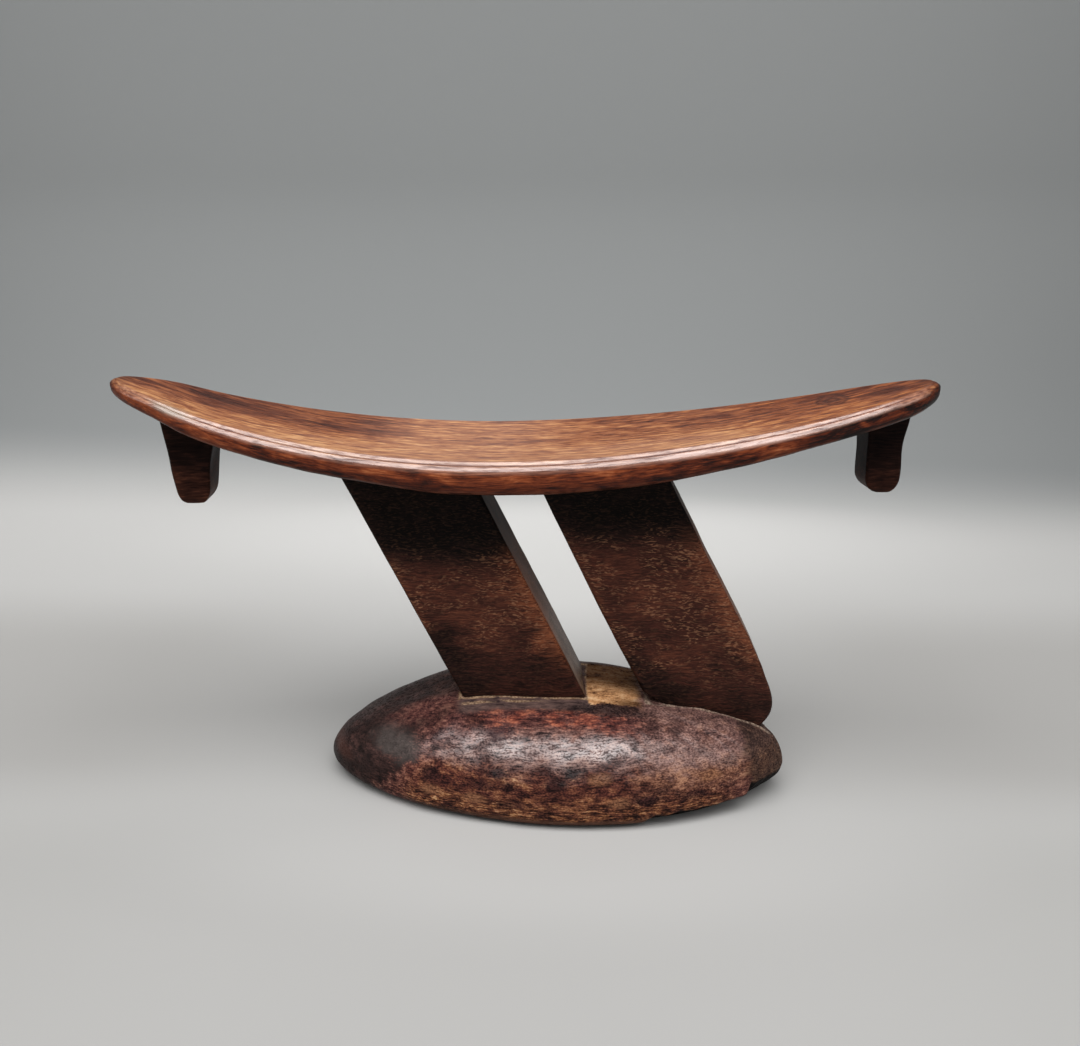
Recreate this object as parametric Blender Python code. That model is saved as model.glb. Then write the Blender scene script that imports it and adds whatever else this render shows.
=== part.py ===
"""Carved wooden headrest: a boat-shaped platform with two hanging lugs, carried by two leaning
struts that are let into a domed foot. Metres, +Z up, origin on the floor under the middle of the
platform's length."""
import math

import bmesh
import bpy
from mathutils import Matrix

# Clearance left around every let-in end
FIT_GAP = 0.0003

# Platform, the curved bar that carries the head
PLATFORM_LENGTH = 0.300
PLATFORM_WIDTH = 0.0768
PLATFORM_HEIGHT = 0.1338        # upper rim edge at mid-length, above the floor
PLATFORM_END_RISE = 0.0232      # how far the two ends stand above the middle
PLATFORM_SWAY = 0.0013          # right half starts to climb before the left half
PLATFORM_PINCH = 0.055          # plan drawn in between the middle and the ends
TOP_DISH = 0.0016               # hollow of the upper face
RIM_CHAMFER = 0.0016            # slanted band between the two rim edges
RIM_SIDE = 0.0088               # height of the side below the band, at mid-length
RIM_SIDE_FADE = 0.45            # share of that height lost at the ends
RIM_TUCK = 0.0024               # underside edge set in from the widest line
BELLY = 0.0040                  # underside hangs this far below its own edge

# Struts, two parallel slabs leaning to the left as they rise
STRUT_LEAN = math.radians(26.0)
LEFT_STRUT_WIDTH = 0.0481
RIGHT_STRUT_WIDTH = 0.0470
STRUT_DEPTH = 0.0315
STRUT_SPACING = 0.0227          # level gap between the two struts
STRUT_STAND_X = 0.0355          # middle of the pair at the top of the foot
STRUT_SETBACK = 0.0060          # struts and platform stand behind the middle of the foot
STRUT_EDGE = 0.0014             # worn rounding of the long edges
STRUT_HEEL = 0.0090             # rounded lower right corner of the right strut
STRUT_SWELL = 0.0010            # outward bow of the right strut's right edge
FOOT_SOCKET = 0.0125            # depth of the strut sockets in the foot
PLATFORM_SOCKET = 0.0050        # depth of the strut sockets in the platform

# Foot, a domed pebble form with a flat underside
FOOT_LENGTH = 0.1761
FOOT_WIDTH = 0.0848
FOOT_HEIGHT = 0.0383
FOOT_X = 0.0119
FOOT_TURN = math.radians(-5.0)
FOOT_PLAN_POWER = 1.8           # below two draws the plan toward pointed ends
FOOT_BULGE = 0.0063             # height of the widest line
FOOT_TUCK = 0.0055              # underside edge set in from the widest line
FOOT_FULL_LEFT = 1.9            # fullness of the dome toward each end and toward its long sides
FOOT_FULL_RIGHT = 2.6
FOOT_FULL_SIDES = 3.4
FOOT_CHIP_LENGTH = 0.010        # broken lower edge at the right end
FOOT_CHIP_HEIGHT = 0.0042
FOOT_WEAR_START = -1.05         # worn lower edge at the front right, as angles round the plan
FOOT_WEAR_END = -0.30
FOOT_WEAR_HEIGHT = 0.0022
FOOT_WEAR_REACH = 0.0060

# Lugs, two tapered pegs hanging below the ends of the platform
LUG_DEPTH = 0.0155
LUG_TIP_WIDTH = 0.0115
LUG_TURN = math.radians(4.0)
LUG_SOCKET = 0.0030
LUG_EDGE = 0.0012
LEFT_LUG_INSET = 0.0283         # from the tip of the platform to the middle of the lug
LEFT_LUG_WIDTH = 0.0192
LEFT_LUG_DROP = 0.0283
RIGHT_LUG_INSET = 0.0192
RIGHT_LUG_WIDTH = 0.0140
RIGHT_LUG_DROP = 0.0268

# Mesh fineness
PLATFORM_SEGMENTS = 72
FOOT_SEGMENTS = 56
FOOT_RINGS = 11


def clear_scene():
    """Empties the file of everything it opened with."""
    for item in list(bpy.data.objects):
        bpy.data.objects.remove(item, do_unlink=True)


def new_collection(name):
    group = bpy.data.collections.new(name)
    bpy.context.scene.collection.children.link(group)
    return group


def wood(name, colour, roughness):
    """Plain waxed wood in one colour."""
    material = bpy.data.materials.new(name)
    material.use_nodes = True
    shader = material.node_tree.nodes["Principled BSDF"]
    shader.inputs["Base Color"].default_value = (*colour, 1.0)
    shader.inputs["Roughness"].default_value = roughness
    shader.inputs["Metallic"].default_value = 0.0
    return material


def finish_mesh(name, bm, group, material=None):
    """Turns a bmesh into a named object with outward faces."""
    bmesh.ops.recalc_face_normals(bm, faces=bm.faces)
    mesh = bpy.data.meshes.new(name)
    bm.to_mesh(mesh)
    bm.free()
    item = bpy.data.objects.new(name, mesh)
    group.objects.link(item)
    if material is not None:
        mesh.materials.append(material)
    return item


def as_cutter(item):
    item.hide_render = True
    item.display_type = "WIRE"
    return item


def cut(target, cutter):
    step = target.modifiers.new("cut_" + cutter.name, "BOOLEAN")
    step.operation = "DIFFERENCE"
    step.solver = "EXACT"
    step.object = cutter


def skin(bm, rings):
    """Lofts closed rings of equal count, and closes the first and last ring across the middle."""
    rows = [[bm.verts.new(point) for point in ring] for ring in rings]
    count = len(rows[0])
    for inner, outer in zip(rows, rows[1:]):
        for i in range(count):
            j = (i + 1) % count
            bm.faces.new((inner[i], inner[j], outer[j], outer[i]))
    close_across(bm, rows[0])
    close_across(bm, rows[-1])


def close_across(bm, row):
    """Fills a ring with strips that join each point to the one facing it."""
    count = len(row)
    for i in range(count // 2):
        corners = (row[i], row[i + 1], row[count - i - 1], row[-i])
        distinct = list(dict.fromkeys(corners))
        bm.faces.new(distinct)


def rim_height(x):
    """Height of the platform's upper rim edge at a place along its length."""
    u = 2.0 * x / PLATFORM_LENGTH
    return PLATFORM_HEIGHT + PLATFORM_END_RISE * u * u + PLATFORM_SWAY * math.sin(math.pi * u)


def side_height(x):
    u = 2.0 * x / PLATFORM_LENGTH
    return RIM_SIDE * (1.0 - RIM_SIDE_FADE * u * u)


def belly_height(x):
    u = 2.0 * x / PLATFORM_LENGTH
    return BELLY * (1.0 - 0.8 * u * u)


def underside_height(x):
    """Lowest height of the platform's underside at a place along its length."""
    return rim_height(x) - RIM_CHAMFER - side_height(x) - belly_height(x)


def platform_ring(inset, drop):
    """Plan outline drawn in by an inset, each point lowered from the rim by drop(x)."""
    half_length = 0.5 * PLATFORM_LENGTH - inset
    half_width = 0.5 * PLATFORM_WIDTH - inset
    points = []
    for i in range(PLATFORM_SEGMENTS):
        angle = 2.0 * math.pi * i / PLATFORM_SEGMENTS
        x = half_length * math.cos(angle)
        pinch = 1.0 - PLATFORM_PINCH * math.sin(2.0 * angle) ** 2
        y = STRUT_SETBACK + half_width * math.sin(angle) * pinch
        points.append((x, y, rim_height(x) - drop(x)))
    return points


def build_platform(group, material):
    half_width = 0.5 * PLATFORM_WIDTH

    def top(share):
        inset = RIM_CHAMFER + share * (half_width - RIM_CHAMFER)
        return platform_ring(inset, lambda x: TOP_DISH * (1.0 - (1.0 - share) ** 2))

    def side(tuck, share):
        return platform_ring(tuck, lambda x: RIM_CHAMFER + share * side_height(x))

    def under(share):
        inset = RIM_TUCK + share * (half_width - RIM_TUCK)
        swell = 1.0 - (1.0 - share) ** 2
        return platform_ring(inset, lambda x: RIM_CHAMFER + side_height(x) + swell * belly_height(x))

    rings = [top(0.93), top(0.65), top(0.35), top(0.12), top(0.0)]
    rings += [side(0.0, 0.0), side(0.0, 0.45), side(0.3 * RIM_TUCK, 0.8)]
    rings += [under(0.0), under(0.12), under(0.35), under(0.65), under(0.93)]
    bm = bmesh.new()
    skin(bm, rings)
    return finish_mesh("head_platform", bm, group, material)


def foot_point(share, angle, height=None):
    """Point on the foot: share of the plan outline at an angle, on the dome or at a given height."""
    c = math.cos(angle)
    s = math.sin(angle)
    power = 2.0 / FOOT_PLAN_POWER
    across = share * 0.5 * FOOT_LENGTH * math.copysign(abs(c) ** power, c)
    along = share * 0.5 * FOOT_WIDTH * math.copysign(abs(s) ** power, s)
    if height is None:
        end_full = FOOT_FULL_RIGHT if c > 0.0 else FOOT_FULL_LEFT
        full = end_full * c * c + FOOT_FULL_SIDES * s * s
        height = FOOT_BULGE + (FOOT_HEIGHT - FOOT_BULGE) * (1.0 - share ** full) ** (1.0 / full)
    x = FOOT_X + across * math.cos(FOOT_TURN) - along * math.sin(FOOT_TURN)
    y = across * math.sin(FOOT_TURN) + along * math.cos(FOOT_TURN)
    return (x, y, height)


def build_foot(group, material):
    angles = [2.0 * math.pi * i / FOOT_SEGMENTS for i in range(FOOT_SEGMENTS)]
    rings = []
    for k in range(1, FOOT_RINGS + 1):
        share = math.sin(0.5 * math.pi * k / FOOT_RINGS)
        rings.append([foot_point(share, angle) for angle in angles])
    for turn in (0.35, 0.70, 1.0):
        quarter = 0.5 * math.pi * turn
        share = 1.0 - 2.0 * FOOT_TUCK / FOOT_WIDTH * (1.0 - math.cos(quarter))
        level = FOOT_BULGE * (1.0 - math.sin(quarter))
        rings.append([foot_point(share, angle, level) for angle in angles])
    bm = bmesh.new()
    skin(bm, rings)
    return finish_mesh("foot", bm, group, material)


def strut_x(height):
    """Middle of the strut pair at a height."""
    return STRUT_STAND_X + (FOOT_HEIGHT - height) * math.tan(STRUT_LEAN)


def build_strut(name, group, middle, width, heel, swell, grow, material=None):
    """Leaning slab: a parallelogram drawn in XZ, its right edge bowed by swell and its lower right
    corner rounded by heel, drawn out in Y and its edges worn round."""
    low = FOOT_HEIGHT - FOOT_SOCKET - grow
    high = underside_height(strut_x(PLATFORM_HEIGHT) + middle) + PLATFORM_SOCKET + grow
    half = 0.5 * width + grow
    depth = 0.5 * STRUT_DEPTH + grow
    shares = [i / 8.0 for i in range(9)] if swell > 0.0 else [0.0, 1.0]
    outline = [(low + share * (high - low), half + swell * math.sin(math.pi * share)) for share in shares]
    outline += [(high, -half), (low, -half)]
    bm = bmesh.new()
    front = []
    for height, side in outline:
        front.append(bm.verts.new((strut_x(height) + middle + side, STRUT_SETBACK - depth, height)))
    face = bm.faces.new(front)
    if heel > 0.0:
        reach = (heel + grow) / math.tan(0.5 * (0.5 * math.pi - STRUT_LEAN))
        bmesh.ops.bevel(bm, geom=[front[0]], offset=reach, offset_type="OFFSET", segments=6,
                        profile=0.5, affect="VERTICES", clamp_overlap=True)
        face = next(iter(bm.faces))
    drawn = bmesh.ops.extrude_face_region(bm, geom=[face])
    moved = [v for v in drawn["geom"] if isinstance(v, bmesh.types.BMVert)]
    bmesh.ops.translate(bm, verts=moved, vec=(0.0, 2.0 * depth, 0.0))
    bmesh.ops.recalc_face_normals(bm, faces=bm.faces)
    sharp = [e for e in bm.edges if e.calc_face_angle() > 0.6]
    bmesh.ops.bevel(bm, geom=sharp, offset=STRUT_EDGE + grow, offset_type="OFFSET", segments=2,
                    profile=0.5, affect="EDGES", clamp_overlap=True)
    return finish_mesh(name, bm, group, material)


def build_lug(name, group, middle, width, drop, grow, material=None):
    """Tapered peg: a cube drawn to its top size, with its lower face narrowed."""
    high = underside_height(middle) + LUG_SOCKET + grow
    low = underside_height(middle) - drop
    bm = bmesh.new()
    bmesh.ops.create_cube(bm, size=1.0)
    for v in bm.verts:
        upper = v.co.z > 0.0
        v.co.x *= (width if upper else LUG_TIP_WIDTH) + 2.0 * grow
        v.co.y *= LUG_DEPTH * (1.0 if upper else 0.8) + 2.0 * grow
        v.co.z = high if upper else low
    place = Matrix.Translation((middle, STRUT_SETBACK, 0.0)) @ Matrix.Rotation(LUG_TURN, 4, "Z")
    bmesh.ops.transform(bm, matrix=place, verts=bm.verts)
    bmesh.ops.bevel(bm, geom=bm.edges[:], offset=LUG_EDGE + grow, offset_type="OFFSET", segments=2,
                    profile=0.5, affect="EDGES", clamp_overlap=True)
    return finish_mesh(name, bm, group, material)


def build_chip(group):
    """Slanted block that takes the broken lower edge off the foot's right end."""
    bm = bmesh.new()
    bmesh.ops.create_cube(bm, size=1.0)
    size = Matrix.Diagonal((2.0 * FOOT_CHIP_LENGTH, FOOT_WIDTH, 2.0 * FOOT_CHIP_HEIGHT, 1.0))
    tilt = Matrix.Rotation(math.radians(-6.0), 4, "Y") @ Matrix.Rotation(math.radians(12.0), 4, "Z")
    end_x = FOOT_X + 0.5 * FOOT_LENGTH * math.cos(FOOT_TURN)
    end_y = 0.5 * FOOT_LENGTH * math.sin(FOOT_TURN)
    bmesh.ops.transform(bm, matrix=Matrix.Translation((end_x, end_y, 0.0)) @ tilt @ size, verts=bm.verts)
    return finish_mesh("chip_cutter", bm, group)


def build_wear(group):
    """Long flat pebble that takes the worn lower edge off the front right of the foot."""
    start = foot_point(0.95, FOOT_WEAR_START, 0.0)
    end = foot_point(0.95, FOOT_WEAR_END, 0.0)
    run = math.dist(start, end)
    heading = math.atan2(end[1] - start[1], end[0] - start[0])
    middle = foot_point(0.97, 0.5 * (FOOT_WEAR_START + FOOT_WEAR_END), 0.0)
    bm = bmesh.new()
    bmesh.ops.create_uvsphere(bm, u_segments=24, v_segments=12, radius=1.0)
    size = Matrix.Diagonal((0.5 * run, FOOT_WEAR_REACH, FOOT_WEAR_HEIGHT, 1.0))
    place = Matrix.Translation(middle) @ Matrix.Rotation(heading, 4, "Z")
    bmesh.ops.transform(bm, matrix=place @ size, verts=bm.verts)
    return finish_mesh("wear_cutter", bm, group)


def build():
    clear_scene()
    parts = new_collection("carved_headrest")
    cutters = new_collection("cutters")

    platform_wood = wood("platform_wood", (0.25, 0.105, 0.045), 0.38)
    strut_wood = wood("strut_wood", (0.085, 0.036, 0.022), 0.50)
    foot_wood = wood("foot_wood", (0.115, 0.040, 0.026), 0.36)
    lug_wood = wood("lug_wood", (0.075, 0.033, 0.021), 0.50)

    platform = build_platform(parts, platform_wood)
    foot = build_foot(parts, foot_wood)
    cut(foot, as_cutter(build_chip(cutters)))
    cut(foot, as_cutter(build_wear(cutters)))

    left_middle = -0.5 * (STRUT_SPACING + RIGHT_STRUT_WIDTH)
    right_middle = 0.5 * (STRUT_SPACING + LEFT_STRUT_WIDTH)
    struts = (
        ("left_strut", left_middle, LEFT_STRUT_WIDTH, 0.0, 0.0),
        ("right_strut", right_middle, RIGHT_STRUT_WIDTH, STRUT_HEEL, STRUT_SWELL),
    )
    for name, middle, width, heel, swell in struts:
        build_strut(name, parts, middle, width, heel, swell, 0.0, strut_wood)
        socket = as_cutter(build_strut(name + "_socket", cutters, middle, width, heel, swell, FIT_GAP))
        cut(platform, socket)
        cut(foot, socket)

    tip = 0.5 * PLATFORM_LENGTH
    lugs = (
        ("left_lug", LEFT_LUG_INSET - tip, LEFT_LUG_WIDTH, LEFT_LUG_DROP),
        ("right_lug", tip - RIGHT_LUG_INSET, RIGHT_LUG_WIDTH, RIGHT_LUG_DROP),
    )
    for name, middle, width, drop in lugs:
        build_lug(name, parts, middle, width, drop, 0.0, lug_wood)
        socket = as_cutter(build_lug(name + "_socket", cutters, middle, width, drop, FIT_GAP))
        cut(platform, socket)


build()
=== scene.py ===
"""Carved wooden headrest, dressed for its photograph: the boat-shaped platform, two leaning struts, the
domed foot and two hanging lugs, all in one dark, handled and waxed wood with its grain running level."""
import math

import bpy
import numpy as np
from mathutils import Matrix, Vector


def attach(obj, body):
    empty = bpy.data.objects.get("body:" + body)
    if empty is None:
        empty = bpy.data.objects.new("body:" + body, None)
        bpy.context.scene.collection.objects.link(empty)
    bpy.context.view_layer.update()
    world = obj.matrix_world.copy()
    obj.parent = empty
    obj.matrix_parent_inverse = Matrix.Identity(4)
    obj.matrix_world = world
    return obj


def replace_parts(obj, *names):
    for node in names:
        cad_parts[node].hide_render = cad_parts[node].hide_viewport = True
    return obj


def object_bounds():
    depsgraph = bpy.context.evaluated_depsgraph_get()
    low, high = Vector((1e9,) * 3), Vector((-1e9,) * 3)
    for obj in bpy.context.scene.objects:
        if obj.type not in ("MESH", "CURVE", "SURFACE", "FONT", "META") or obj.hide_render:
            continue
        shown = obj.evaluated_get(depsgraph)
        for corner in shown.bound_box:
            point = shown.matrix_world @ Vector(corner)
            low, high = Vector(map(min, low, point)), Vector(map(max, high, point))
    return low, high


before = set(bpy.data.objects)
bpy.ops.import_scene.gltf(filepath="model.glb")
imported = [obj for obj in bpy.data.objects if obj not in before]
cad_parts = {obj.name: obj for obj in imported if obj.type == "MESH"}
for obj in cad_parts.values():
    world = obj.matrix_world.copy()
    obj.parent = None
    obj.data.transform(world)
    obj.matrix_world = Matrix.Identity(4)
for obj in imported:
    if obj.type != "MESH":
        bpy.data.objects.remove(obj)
cad_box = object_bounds()

MM = 1000.0  # millimetres in a metre

# Sizes in metres. Most are the solids' own; the foot's length, tuck and right fullness, the struts' edge and
# the lugs' drops depart from them a little, as the photograph shows.

# Platform
PLATFORM_LENGTH = 0.300
PLATFORM_WIDTH = 0.0768
PLATFORM_HEIGHT = 0.1338
PLATFORM_END_RISE = 0.0232
PLATFORM_SWAY = 0.0013
PLATFORM_PINCH = 0.055
TOP_DISH = 0.0016
RIM_CHAMFER = 0.0016
RIM_SIDE = 0.0088
RIM_SIDE_FADE = 0.45
BELLY = 0.0040
BELLY_FADE = 0.8
# low bell of the rim by the left tip: height, place and reach
RIM_BELL = (0.0008, -0.132, 0.012)
# the side's height beyond its parabola: amount, and the two places along the length it is eased between
SIDE_STEPS = ((0.0007, 0.020, 0.060), (-0.0006, 0.050, 0.105), (0.0006, 0.116, 0.140),
              (-0.0005, -0.112, -0.130))
# its swell about the middle: amount, place, and the reach of its foot and of its top
SIDE_SWELL = (0.0011, 0.004, 0.062, 0.020)
# the rim's beads: share of their waver, share lost toward the ends, and height that the side takes up there
BEAD_WAVER = 0.07
BEAD_NARROW = 0.30
BEAD_TAKEN_UP = 0.0016

# Struts
STRUT_LEAN = math.radians(26.0)
LEFT_STRUT_WIDTH = 0.0481
RIGHT_STRUT_WIDTH = 0.0470
STRUT_DEPTH = 0.0315
STRUT_SPACING = 0.0227
STRUT_STAND_X = 0.0355
STRUT_SETBACK = 0.0060
STRUT_EDGE = 0.0018
# right edge of the right strut at its foot: height and place along the length, in millimetres
STRUT_HEEL = ((25.0, 89.9), (26.7, 91.9), (28.4, 93.3), (30.9, 94.9), (36.8, 95.2), (40.8, 94.3),
              (45.1, 92.6), (47.5, 91.6), (53.2, 89.5))
STRUT_HEEL_FULL = 0.0016
STRUT_SWELL = 0.0010
FOOT_SOCKET = 0.0125
PLATFORM_SOCKET = 0.0050

# Foot
FOOT_LENGTH = 0.1780
FOOT_WIDTH = 0.0848
FOOT_HEIGHT = 0.0383
FOOT_X = 0.0119
FOOT_TURN = math.radians(-5.0)
FOOT_PLAN_POWER = 1.8
FOOT_BULGE = 0.0063
FOOT_TUCK = 0.0064
FOOT_FULL_LEFT = 1.9
FOOT_FULL_RIGHT = 2.4
FOOT_FULL_SIDES = 3.4
FOOT_FRONT_LACKS = 0.8
FOOT_SWELLING = 0.0021
# fall of the foot's top: amount, and the two places along the length it is eased between
FOOT_FALLS = ((0.0008, -0.004, 0.012), (0.0008, 0.020, 0.056), (-0.0010, 0.066, 0.098))
# worn lower edge at the front right: heading round the plan, and height in millimetres
FOOT_WORN = ((-1.06, 5.6), (-0.92, 6.1), (-0.75, 6.2), (-0.61, 6.7), (-0.545, 7.4), (-0.515, 12.6),
             (-0.38, 12.8), (-0.20, 12.4), (0.10, 10.0))

# Lugs
LUG_DEPTH = 0.0155
LUG_TIP_WIDTH = 0.0115
LUG_TIP_HEIGHT = 0.0058
LUG_TIP_THINNING = 0.0060
LUG_TAPER = 0.14
LUG_EDGE = 0.0013
LUG_TURN = math.radians(4.0)
LUG_SOCKET = 0.0030
# middle along the length, width, drop, cuts of the left and the right side at the tip, wave, seed
LUGS = {
    "left_lug": (0.0283 - 0.5 * PLATFORM_LENGTH, 0.0192, 0.0299, (0.0030, 0.0034), 0.0001, 51),
    "right_lug": (0.5 * PLATFORM_LENGTH - 0.0192, 0.0140, 0.0271, (0.0064, 0.0026), 0.0005, 52),
}

LEFT_MIDDLE = -0.5 * (STRUT_SPACING + RIGHT_STRUT_WIDTH)
RIGHT_MIDDLE = 0.5 * (STRUT_SPACING + LEFT_STRUT_WIDTH)


# Shaping

def ripples(x, y, z, wavelength, seed, waves=10):
    """Hand-tool unevenness: the sum of plane waves of about one wavelength, each with a seeded heading
    and phase, scaled so that its usual size is one."""
    rng = np.random.default_rng(seed)
    total = np.zeros(np.broadcast(x, y, z).shape)
    for _ in range(waves):
        heading = rng.normal(size=3)
        heading *= 2.0 * np.pi / (np.linalg.norm(heading) * wavelength * rng.uniform(0.7, 1.5))
        total += np.sin(x * heading[0] + y * heading[1] + z * heading[2] + rng.uniform(0.0, 2.0 * np.pi))
    return total / math.sqrt(0.5 * waves)


def knife_marks(x, y, z, *sets):
    """Sum of ripples, each set given by its usual height, its wavelength and its seed."""
    return sum(height * ripples(x, y, z, wavelength, seed) for height, wavelength, seed in sets)


def smoothstep(low, high, value):
    """Rises from 0 at low to 1 at high as 3t squared less 2t cubed."""
    t = np.clip((value - low) / (high - low), 0.0, 1.0)
    return t * t * (3.0 - 2.0 * t)


def steps_along(x, steps):
    """Sum of eased steps, each given by its amount and the two places it is eased between."""
    return sum(amount * smoothstep(start, stop, x) for amount, start, stop in steps)


def outward(rings):
    """Unit normals of a ringed surface: the cross product of its steps along and across the rings."""
    round_step = np.roll(rings, -1, axis=1) - np.roll(rings, 1, axis=1)
    over_step = np.gradient(rings, axis=0)
    normal = np.cross(round_step, over_step)
    return normal / np.maximum(np.linalg.norm(normal, axis=2, keepdims=True), 1e-12)


def carve(rings, amount):
    """Moves each point along its own normal by an amount in metres."""
    return rings + outward(rings) * amount[..., None]


def capped(rings, shrink):
    """Rings with copies of the first and the last drawn in toward their middles, so that both ends close."""
    shrink = shrink[:, None, None]
    first, last = rings[:1], rings[-1:]
    first_middle, last_middle = first.mean(axis=1, keepdims=True), last.mean(axis=1, keepdims=True)
    return np.concatenate([first_middle + (first - first_middle) * shrink, rings,
                           last_middle + (last - last_middle) * shrink[::-1]])


def skin(name, rings, finish, marks=None):
    """Closed mesh over rings of equal count, shaped (rings, points, 3): quads between neighbours, and the
    first and last ring closed by strips that join each point to the one facing it."""
    rows, count = rings.shape[:2]
    index = np.arange(rows * count).reshape(rows, count)
    ahead = np.roll(index, -1, axis=1)
    quads = np.stack([index[:-1], ahead[:-1], ahead[1:], index[1:]], axis=-1).reshape(-1, 4)
    half = count // 2
    i = np.arange(1, half - 1)
    strip = np.stack([i, count - i, count - i - 1, i + 1], axis=-1)
    first = np.array([[0, count - 1, 1], [half - 1, half + 1, half]])
    base = (rows - 1) * count
    faces = quads.tolist() + strip.tolist() + first.tolist()
    faces += (base + strip[:, ::-1]).tolist() + (base + first[:, ::-1]).tolist()
    points = np.clip(rings.reshape(-1, 3), *(np.array(corner) for corner in cad_box))
    a, b, c, d = (points[quads[:, k]] for k in range(4))
    if np.einsum("ij,ij->i", np.cross(c - a, d - b), a + b + c + d).sum() < 0.0:
        faces = [face[::-1] for face in faces]
    mesh = bpy.data.meshes.new(name)
    mesh.from_pydata(points.tolist(), [], faces)
    mesh.polygons.foreach_set("use_smooth", np.ones(len(mesh.polygons), dtype=bool))
    for mark, values in (marks or {}).items():
        layer = mesh.attributes.new(mark, "FLOAT", "POINT")
        layer.data.foreach_set("value", np.broadcast_to(values, (rows, count)).ravel().astype(np.float32))
    mesh.materials.append(finish)
    piece = bpy.data.objects.new(name, mesh)
    bpy.context.scene.collection.objects.link(piece)
    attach(piece, "root")
    return piece


# Platform

def rim_height(x):
    """Upper rim edge: a parabola over the length plus one sine wave of sway and a low bell near one tip."""
    u = 2.0 * x / PLATFORM_LENGTH
    height, place, reach = RIM_BELL
    bell = height * np.exp(-((x - place) / reach) ** 2)
    return PLATFORM_HEIGHT + PLATFORM_END_RISE * u * u + PLATFORM_SWAY * np.sin(np.pi * u) + bell


def side_height(x):
    """Height of the platform's side: less toward the ends by the square of the length, more in the middle and
    on the right half, less again toward the right end and at the left tip, and more at the right tip."""
    u = 2.0 * x / PLATFORM_LENGTH
    amount, place, foot, top = SIDE_SWELL
    swell = amount * smoothstep(foot, top, np.abs(x - place))
    return RIM_SIDE * (1.0 - RIM_SIDE_FADE * u * u) + swell + steps_along(x, SIDE_STEPS)


def belly_height(x):
    """Hang of the underside below its own edge, less toward the ends by the square of the length."""
    u = 2.0 * x / PLATFORM_LENGTH
    return BELLY * (1.0 - BELLY_FADE * u * u)


def underside_height(x):
    """Lowest line of the underside."""
    return rim_height(x) - RIM_CHAMFER - side_height(x) - belly_height(x)


def platform_profile():
    """Cross-section from the spine of the upper face, over the rim, to the spine of the underside. Five
    columns: inset from the widest line, fixed drop, share of the side's height, share of the belly, and
    the girth mark (0 spine, 1 upper rim edge, 1.5 incised line, 2 lower rim edge, 3 underside edge, 4 under
    spine). The rim is a polyline with an incised line between its two beads, averaged over a short run to
    round it."""
    half_width = 0.5 * PLATFORM_WIDTH
    fine_step, rounding, beads_end = 0.00003, 7, 0.0062
    corners = 0.001 * np.array([
        # inset, drop, side, belly, girth (in thousandths like the lengths)
        (5.20, 0.14, 0, 0, 880), (3.70, 0.00, 0, 0, 940), (3.20, 0.12, 0, 0, 970),
        (2.40, 1.04, 0, 0, 1150), (2.24, 1.22, 0, 0, 1400), (2.02, 1.28, 0, 0, 1500),
        (1.62, 1.34, 0, 0, 1700), (1.40, 1.44, 0, 0, 1780), (0.42, 2.52, 0, 0, 2000),
        (0.10, 2.85, 30, 0, 2100), (0.00, 2.85, 250, 0, 2300), (0.20, 2.85, 600, 0, 2600),
        (0.80, 2.85, 850, 0, 2800), (1.90, 2.85, 985, 0, 2950), (3.20, 2.85, 1000, 40, 3050),
        (4.60, 2.85, 1000, 75, 3100)])
    # what the rim's drop has beyond its chamfer is taken off the side, so that the underside keeps its place
    corners[:, 1] -= corners[:, 2] * 0.00125
    rise = corners[:, 1] + corners[:, 2] * RIM_SIDE + corners[:, 3] * BELLY
    run = np.concatenate([[0.0], np.cumsum(np.hypot(np.diff(corners[:, 0]), np.diff(rise)))])
    fine = np.arange(0.0, run[-1], fine_step)
    kernel = np.hanning(2 * rounding + 1)
    kernel /= kernel.sum()
    rim = np.stack([np.convolve(np.pad(np.interp(fine, run, column), rounding, mode="edge"), kernel, "valid")
                    for column in corners.T], axis=1)
    spaced = np.concatenate([np.arange(0.0006, beads_end, 0.00011),
                             np.arange(beads_end, run[-1] - 0.0004, 0.00045)])
    rim = rim[np.rint(spaced / fine_step).astype(int)]
    share = 1.0 - np.linspace(0.004, 1.0, 38)[:-1] ** 0.8
    inset = rim[0, 0] + 0.0005 + share * (half_width - rim[0, 0] - 0.0005)
    dish = rim[0, 1] + 0.00003 + (TOP_DISH - 0.0002) * (1.0 - (1.0 - share) ** 2)
    top = np.stack([inset, dish, 0 * share, 0 * share, 0.9 * (1.0 - share)], axis=1)
    share = np.linspace(0.03, 0.996, 32)
    inset = rim[-1, 0] + share * (half_width - rim[-1, 0])
    belly = 0.08 + 0.92 * (1.0 - (1.0 - share) ** 2)
    under = np.stack([inset, 0 * share + rim[-1, 1], 0 * share + 1.0, belly, 3.1 + 0.9 * share], axis=1)
    return np.concatenate([top, rim, under])


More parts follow.
